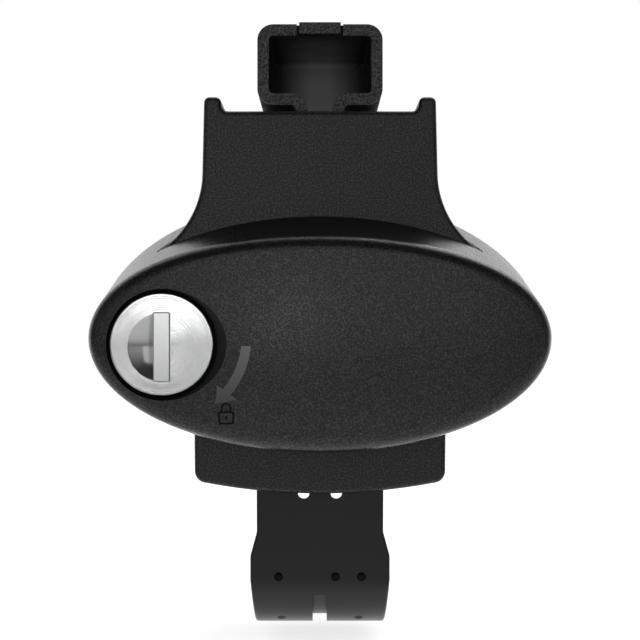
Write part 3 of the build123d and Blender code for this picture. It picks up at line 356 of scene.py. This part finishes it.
satin_sockets = {
    "Base Color": blend(satin_haze, (0.49, 0.493, 0.498, 1), (0.55, 0.553, 0.557, 1)),
    "Metallic": 1.0,
    "Roughness": 0.085 + 0.04 * satin_haze + 0.02 * turned + 0.10 * on_bar + 0.04 * in_dish,
    "Normal": relief(turned * (1 - on_bar) * (1 - in_dish), 0.000008),
}
dress(coat(satin, p, satin_sockets), "lock_plug")


# Signs beside the lock: thin raised lines moulded on the cover's domed
# face and painted. A grey arrow curves round the lock and shows which
# way it turns to close, and a small black padlock stands at its point.
SIGN_PROUD = 0.00012
SIGN_SUNK = 0.0003


def on_dome(x, z, proud):
    """The point of the cover's face over x and z: the near side of a sphere, moved out along Y by proud."""
    reach = DOME_RADIUS**2 - (x - DOME_CENTRE[0]) ** 2 - (z - DOME_CENTRE[2]) ** 2
    return np.stack([x, DOME_CENTRE[1] - np.sqrt(reach) - proud, z], axis=-1)


def raised_sign(name, paint, x, z, closed=False):
    """A slab on the dome. x and z are grids over u along the sign and v across it. The top grid stands proud
    of the dome, a second grid lies sunk in it, and walls of quads join their edges. A closed sign's last row
    meets its first."""
    points = np.concatenate([on_dome(x, z, proud).reshape(-1, 3) for proud in (SIGN_PROUD, -SIGN_SUNK)])
    rows = np.arange(x.size).reshape(x.shape)
    if closed:
        rows = np.concatenate([rows, rows[:1]])
    top = np.stack([rows[:-1, :-1], rows[1:, :-1], rows[1:, 1:], rows[:-1, 1:]], axis=-1).reshape(-1, 4)
    edges = [(rows[:-1, -1], rows[1:, -1]), (rows[1:, 0], rows[:-1, 0])]
    if not closed:
        edges += [(rows[0, :-1], rows[0, 1:]), (rows[-1, 1:], rows[-1, :-1])]
    edge, after = (np.concatenate(side) for side in zip(*edges))
    wall = np.stack([edge, after, after + x.size, edge + x.size], axis=-1)
    faces = np.concatenate([top, top[:, ::-1] + x.size, wall])
    mesh = bpy.data.meshes.new(name)
    mesh.from_pydata(points.tolist(), [], faces.tolist())
    mesh.validate()
    mesh.materials.append(paint)
    piece = bpy.data.objects.new(name, mesh)
    bpy.context.scene.collection.objects.link(piece)
    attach(piece, "front_cover")


# Painted shade on the arrow: its grey is lighter at the lock's height and darker lower down towards its tip.
ARROW_SHADE_DROP = 0.0176
grey_paint, p = finish("grey_sign_paint")
paint_grain = grain(p, 0.0003, 3.0)
arrow_painted_shade = ramp(axes(p)[2], LOCK_FACE[2] - ARROW_SHADE_DROP, LOCK_FACE[2])
paint_tone = blend(arrow_painted_shade, (0.060, 0.060, 0.061, 1), (0.190, 0.190, 0.194, 1))
paint_sockets = {
    "Base Color": blend(0.35 * paint_grain, paint_tone, (0.030, 0.030, 0.031, 1)),
    "Roughness": 0.42 + 0.16 * paint_grain,
    "Specular IOR Level": 0.30,
    "Normal": relief(paint_grain, 0.00004),
}
coat(grey_paint, p, paint_sockets)

# The arrow: u turns round the lock from tail to tip while the radius shrinks evenly, and v goes
# across by a half width that is constant to the neck, steps out there and narrows to the tip.
ARROW_RADII = (0.0240, 0.0223)
ARROW_HALF, ARROW_HEAD_HALF, ARROW_TIP_HALF = 0.00135, 0.0034, 0.0001
ARROW_TAIL, ARROW_NECK, ARROW_TIP = np.radians([-0.7, -35.0, -46.5])
SHAFT_STEPS, POINT_STEPS, ACROSS_STEPS = 24, 12, 5
shaft = np.linspace(ARROW_TAIL, ARROW_NECK, SHAFT_STEPS)
point = np.linspace(ARROW_NECK, ARROW_TIP, POINT_STEPS)
point_half = np.linspace(ARROW_HEAD_HALF, ARROW_TIP_HALF, POINT_STEPS)
along = np.concatenate([shaft, point])
half = np.concatenate([np.full(SHAFT_STEPS, ARROW_HALF), point_half])
turn, across = np.meshgrid(along, np.linspace(-1.0, 1.0, ACROSS_STEPS), indexing="ij")
spine = np.interp(-along, [-ARROW_TAIL, -ARROW_TIP], ARROW_RADII)
radius = spine[:, None] + across * half[:, None]
arrow_x, arrow_z = LOCK_FACE[0] + radius * np.cos(turn), LOCK_FACE[2] + radius * np.sin(turn)
raised_sign("turn_arrow", grey_paint, arrow_x, arrow_z)

black_paint, p = finish("black_sign_paint")
black_grain = grain(p, 0.0003, 3.0)
black_sockets = {
    "Base Color": blend(black_grain, (0.0015, 0.0015, 0.0015, 1), (0.0040, 0.0040, 0.0040, 1)),
    "Roughness": 0.50 + 0.20 * black_grain,
    "Specular IOR Level": 0.10,
    "Normal": relief(black_grain, 0.00003),
}
coat(black_paint, p, black_sockets)

# The padlock: its case is a superellipse, with cosine and sine to a low power, its shackle a half
# circle on two upright legs, and its keyhole a short bar. v goes across each line by its half width.
LINE_HALF = 0.00024
CASE_MIDDLE, CASE_HALF = (-0.0260, 0.0189), (0.0020, 0.0016)
CASE_POWER = 0.35
CASE_STEPS, SHACKLE_STEPS = 64, 17
SHACKLE_RADIUS, SHACKLE_RISE = 0.00125, 0.0010
case_turn = np.linspace(0.0, -2 * np.pi, CASE_STEPS, endpoint=False)
turn, across = np.meshgrid(case_turn, [-LINE_HALF, LINE_HALF], indexing="ij")
case_side = np.sign(np.cos(turn)) * np.abs(np.cos(turn)) ** CASE_POWER
case_up = np.sign(np.sin(turn)) * np.abs(np.sin(turn)) ** CASE_POWER
case_x = CASE_MIDDLE[0] + (CASE_HALF[0] + across) * case_side
case_z = CASE_MIDDLE[1] + (CASE_HALF[1] + across) * case_up
raised_sign("padlock_case", black_paint, case_x, case_z, closed=True)
bend = np.concatenate([[np.pi], np.linspace(np.pi, 0.0, SHACKLE_STEPS), [0.0]])
rise = np.concatenate([[0.0], np.full(SHACKLE_STEPS, SHACKLE_RISE), [0.0]])
turn, across = np.meshgrid(bend, [-LINE_HALF, LINE_HALF], indexing="ij")
shackle_x = CASE_MIDDLE[0] + (SHACKLE_RADIUS + across) * np.cos(turn)
shackle_z = CASE_MIDDLE[1] + CASE_HALF[1] + rise[:, None] + (SHACKLE_RADIUS + across) * np.sin(turn)
raised_sign("padlock_shackle", black_paint, shackle_x, shackle_z)
slot_x, slot_z = np.meshgrid([-LINE_HALF, LINE_HALF], [-2 * LINE_HALF, 2 * LINE_HALF], indexing="ij")
raised_sign("padlock_keyhole", black_paint, CASE_MIDDLE[0] + slot_x, CASE_MIDDLE[1] + slot_z)


# Floor and studio: a plain white floor in a white room, just low enough
# that the strap clears it when it is let out. The camera and mirror-like
# pieces see both as white, and the floor keeps a part of the soft shadow.
FLOOR_HALF = 4.0
STRAP_LET_OUT = 0.0060
floor_z = cad_box[0][2] - STRAP_LET_OUT
floor_x, floor_y = np.meshgrid([-FLOOR_HALF, FLOOR_HALF], [-FLOOR_HALF, FLOOR_HALF])
floor_points = np.stack([floor_x, floor_y, np.full((2, 2), floor_z)], axis=-1).reshape(-1, 3)
floor_mesh = bpy.data.meshes.new("floor")
floor_mesh.from_pydata(floor_points.tolist(), [], [(0, 1, 3, 2)])
floor = bpy.data.objects.new("floor", floor_mesh)
bpy.context.scene.collection.objects.link(floor)


def seen_white(rays):
    """1 for the rays of the camera, of mirrors and of glass, and 0 for the light that falls on things."""
    mirrored = Wire(rays.outputs["Is Glossy Ray"]) + Wire(rays.outputs["Is Transmission Ray"])
    return ramp(Wire(rays.outputs["Is Camera Ray"]) + mirrored, 0.0, 1.0)


FLOOR_GLOW = 0.72
FLOOR_FADE = (0.25, 0.9)
ORIGIN = (0.0, 0.0, 0.0)
floor_white, p = finish("floor_white")
seen = seen_white(p.node("ShaderNodeLightPath", {}, {}).socket.node)
far = ramp(distance(p, ORIGIN), *FLOOR_FADE)
bare = p.node("ShaderNodeBsdfDiffuse", {}, {"Color": (0.82, 0.82, 0.82, 1)})
floor_light = seen * (FLOOR_GLOW + (1 - FLOOR_GLOW) * far)
glow = p.node("ShaderNodeEmission", {}, {"Color": (1, 1, 1, 1), "Strength": floor_light})
surface = p.node("ShaderNodeAddShader", {}, {0: bare, 1: glow})
p.node("ShaderNodeOutputMaterial", {}, {"Surface": surface})
floor_mesh.materials.append(floor_white)

ROOM_LIGHT = 0.45
room = bpy.data.worlds.new("white_room")
room.use_nodes = True
bpy.context.scene.world = room
room.node_tree.nodes.clear()
seen = seen_white(room.node_tree.nodes.new("ShaderNodeLightPath"))
room_light = ROOM_LIGHT + (1 - ROOM_LIGHT) * seen
walls = seen.node("ShaderNodeBackground", {}, {"Color": (1, 1, 1, 1), "Strength": room_light})
seen.node("ShaderNodeOutputWorld", {}, {"Surface": walls})


# Dark screen: cloth round the front, the sides and the top and over the floor away from the foot,
# seen only by gloss. It gets no lamp light but glows by itself as a painted reflection: grey low down,
# lighter beside the lamps and over the floor near the foot, and nearly black overhead, which keeps
# rounded black edges dark. It is open behind, where the white room shines on the shoulders.
SCREEN_RADIUS = 2.2
SCREEN_LOW, SCREEN_TOP, SCREEN_SIDE = 0.17, 0.055, 0.22
SCREEN_SIDE_X, SCREEN_SIDE_Y, SCREEN_TOP_Z = (1.0, 1.4), (-1.0, -0.45), (0.3, 1.5)
SCREEN_AROUND, SCREEN_UP = (-112, 112), (-20, 88)
AROUND_STEPS, UP_STEPS, APRON_STEPS = 33, 17, 9
APRON_NEAR, APRON_LIFT = 0.075, 0.001
APRON_LIGHT = 0.60
APRON_FADE = (0.15, 0.9)
screen_cloth, p = finish("screen_cloth")
cloth_x, cloth_y, cloth_z = axes(p)
cloth_side = ramp(abs(cloth_x), *SCREEN_SIDE_X) * (1 - ramp(cloth_y, *SCREEN_SIDE_Y))
cloth_low = (SCREEN_LOW - SCREEN_TOP + SCREEN_SIDE * cloth_side) * (1 - ramp(cloth_z, *SCREEN_TOP_Z))
cloth_near = 1 - ramp(distance(p, ORIGIN), *APRON_FADE)
# Painted reflection: the screen's brightness is a glow set by where it hangs.
cloth_glow = SCREEN_TOP + cloth_low + APRON_LIGHT * cloth_near
screen_glow = p.node("ShaderNodeEmission", {}, {"Color": (1, 1, 1, 1), "Strength": cloth_glow})
p.node("ShaderNodeOutputMaterial", {}, {"Surface": screen_glow})


def hung_cloth(name, x, y, z):
    """A sheet of cloth from grids of x, y and z, which only mirror-like light meets."""
    index = np.arange(x.size).reshape(x.shape)
    quads = np.stack([index[:-1, :-1], index[1:, :-1], index[1:, 1:], index[:-1, 1:]], axis=-1).reshape(-1, 4)
    mesh = bpy.data.meshes.new(name)
    mesh.from_pydata(np.stack([x, y, z], axis=-1).reshape(-1, 3).tolist(), [], quads.tolist())
    mesh.materials.append(screen_cloth)
    cloth = bpy.data.objects.new(name, mesh)
    bpy.context.scene.collection.objects.link(cloth)
    cloth.visible_camera = cloth.visible_diffuse = cloth.visible_shadow = cloth.visible_transmission = False


def ring_grid(other):
    """Grids of the angle from the front, in radians, and of a second measure."""
    return np.meshgrid(np.radians(np.linspace(*SCREEN_AROUND, AROUND_STEPS)), other, indexing="ij")


turn, up = ring_grid(np.radians(np.linspace(*SCREEN_UP, UP_STEPS)))
flat = SCREEN_RADIUS * np.cos(up)
hung_cloth("dark_screen", flat * np.sin(turn), -flat * np.cos(turn), SCREEN_RADIUS * np.sin(up))
turn, reach = ring_grid(np.linspace(APRON_NEAR, SCREEN_RADIUS, APRON_STEPS))
apron_z = np.full(turn.shape, floor_z + APRON_LIFT)
hung_cloth("floor_apron", reach * np.sin(turn), -reach * np.cos(turn), apron_z)


# Lamps: a large soft box in front, above the lens, a narrow strip before it that whitens the
# top of the lock, and a card behind on the right that brightens the cover's right shoulder.
def soft_box(name, place, aim, size, watts):
    """A rectangular area lamp at a place, turned towards the point it lights."""
    lamp = bpy.data.lights.new(name, "AREA")
    lamp.shape, lamp.size, lamp.size_y, lamp.energy = "RECTANGLE", size[0], size[1], watts
    box = bpy.data.objects.new(name, lamp)
    box.location = place
    way = np.array(aim) - np.array(place)
    flat = math.hypot(way[0], way[1])
    box.rotation_euler = (math.atan2(flat, -way[2]), 0.0, math.atan2(way[1], way[0]) - math.pi / 2)
    bpy.context.scene.collection.objects.link(box)


soft_box("front_box", place=(0.0, -1.50, 0.45), aim=(0.0, 0.0, 0.45), size=(2.0, 1.2), watts=4.5)
soft_box("lock_strip", place=(-0.165, -1.48, 0.115), aim=(-0.165, 0.0, 0.115), size=(0.17, 0.10), watts=0.26)
soft_box("back_card", place=(0.55, 0.70, 1.3), aim=(0.0, 0.0, 0.06), size=(0.9, 1.2), watts=4.0)


# Camera: level with the middle of the cover, square to it and about half a metre
# away, as in the photograph. Its view shows the colours about as they are written.
SENSOR_MM, LENS_MM = 36.0, 90.3
CAMERA_PLACE, CAMERA_LEVEL = (0.0, -0.4935, 0.046), (math.pi / 2, 0.0, 0.0)
camera_data = bpy.data.cameras.new("camera")
camera_data.sensor_width, camera_data.lens = SENSOR_MM, LENS_MM
camera = bpy.data.objects.new("camera", camera_data)
camera.location, camera.rotation_euler = CAMERA_PLACE, CAMERA_LEVEL
bpy.context.scene.collection.objects.link(camera)
bpy.context.scene.camera = camera
bpy.context.scene.view_settings.view_transform = "Standard"
